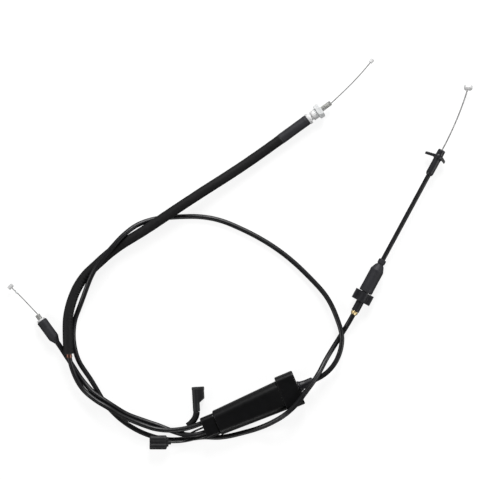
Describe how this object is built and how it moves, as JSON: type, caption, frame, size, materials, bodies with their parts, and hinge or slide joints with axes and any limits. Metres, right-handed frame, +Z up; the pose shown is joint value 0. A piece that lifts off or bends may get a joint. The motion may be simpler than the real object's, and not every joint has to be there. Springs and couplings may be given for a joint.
{
  "type": "throttle cable with splitter box",
  "caption": "Throttle cable set for a small two-stroke: lever cable with inline adjuster, splitter box with sliding link and switch, and branch cables to carburettor and oil pump.",
  "frame": {"origin": "on the bench plane under the middle of the splitter box body", "axes": "+X along the splitter box towards its throttle-cable inlet, +Z up from the bench, +Y towards the carburettor end of the coil"},
  "size_m": [0.556, 0.3294, 0.0267],
  "materials": {
    "casing_pvc": "satin",
    "sleeve_vinyl": "matt",
    "boot_rubber": "matt",
    "moulded_plastic": "satin",
    "box_plastic": "satin",
    "nylon": "satin",
    "lead_pvc": "gloss",
    "zinc_plate": "bright zinc",
    "cast_zinc": "satin",
    "steel_wire": "stranded",
    "brass": "satin",
    "copper": "satin"
  },
  "bodies": {
    "cable_set": {"adjuster_screw": "moulded_plastic", "adjuster_wing": "moulded_plastic", "brass_ferrule": "brass", "throttle_casing": "casing_pvc", "throttle_core": "steel_wire", "box_base": "box_plastic", "box_cover": "box_plastic", "box_end_cap": "box_plastic", "cap_rivet": "zinc_plate", "inlet_tube": "moulded_plastic", "port_block": "box_plastic", "switch_body": "box_plastic", "switch_lead_a": "lead_pvc", "switch_lead_b": "lead_pvc", "lead_sleeve": "sleeve_vinyl", "flag_connector": "boot_rubber", "twin_connector": "boot_rubber", "connector_terminals": "brass", "carb_casing": "casing_pvc", "carb_core": "steel_wire", "carb_sleeve": "sleeve_vinyl", "sleeve_ferrule": "copper", "carb_boot": "boot_rubber", "carb_ferrule": "cast_zinc", "carb_washer": "zinc_plate", "carb_stud": "zinc_plate", "oil_casing": "casing_pvc", "oil_core": "steel_wire", "oil_boot": "boot_rubber", "oil_ferrule": "cast_zinc", "oil_stud": "zinc_plate"},
    "throttle_end": {"throttle_barrel": "cast_zinc", "throttle_wire": "steel_wire"},
    "upper_line": {"upper_casing": "casing_pvc", "lever_ferrule": "moulded_plastic", "adjuster_sleeve": "moulded_plastic"},
    "boot": {"adjuster_boot": "boot_rubber"},
    "slider": {"cable_slider": "nylon", "slider_inlet_wire": "steel_wire", "slider_branch_wires": "steel_wire"},
    "plunger": {"switch_plunger": "nylon"},
    "carb_end": {"carb_wire": "steel_wire", "carb_nipple": "cast_zinc"},
    "oil_end": {"oil_wire": "steel_wire", "oil_stops": "zinc_plate", "oil_nipple": "cast_zinc"},
    "locknut": {"carb_locknut": "zinc_plate"}
  },
  "joints": [
    {"name": "throttle_pull", "type": "slide", "parent": "cable_set", "child": "throttle_end", "axis": [0.7771, 0.6293, 0], "range_m": [0, 0.016]},
    {"name": "slider_travel", "type": "slide", "parent": "cable_set", "child": "slider", "axis": [1, 0, 0], "range_m": [0, 0.016]},
    {"name": "carb_pull", "type": "slide", "parent": "cable_set", "child": "carb_end", "axis": [-0.9724, -0.2334, 0], "range_m": [0, 0.016]},
    {"name": "oil_pull", "type": "slide", "parent": "cable_set", "child": "oil_end", "axis": [0.2334, -0.9724, 0], "range_m": [0, 0.016]},
    {"name": "plunger_press", "type": "slide", "parent": "cable_set", "child": "plunger", "axis": [0, -1, 0], "range_m": [0, 0.0016]},
    {"name": "adjuster_travel", "type": "slide", "parent": "cable_set", "child": "upper_line", "axis": [0.7771, 0.6293, 0], "range_m": [0, 0.008]},
    {"name": "boot_slide", "type": "slide", "parent": "upper_line", "child": "boot", "axis": [0.7771, 0.6293, 0], "range_m": [0, 0.045]},
    {"name": "locknut_travel", "type": "slide", "parent": "cable_set", "child": "locknut", "axis": [0.9724, 0.2334, 0], "range_m": [0, 0.01]}
  ],
  "couplings": [
    {"joint": "slider_travel", "follows": "throttle_pull", "ratio": 1},
    {"joint": "carb_pull", "follows": "throttle_pull", "ratio": 1},
    {"joint": "oil_pull", "follows": "throttle_pull", "ratio": 1},
    {"joint": "plunger_press", "follows": "throttle_pull", "ratio": 0.1}
  ]
}
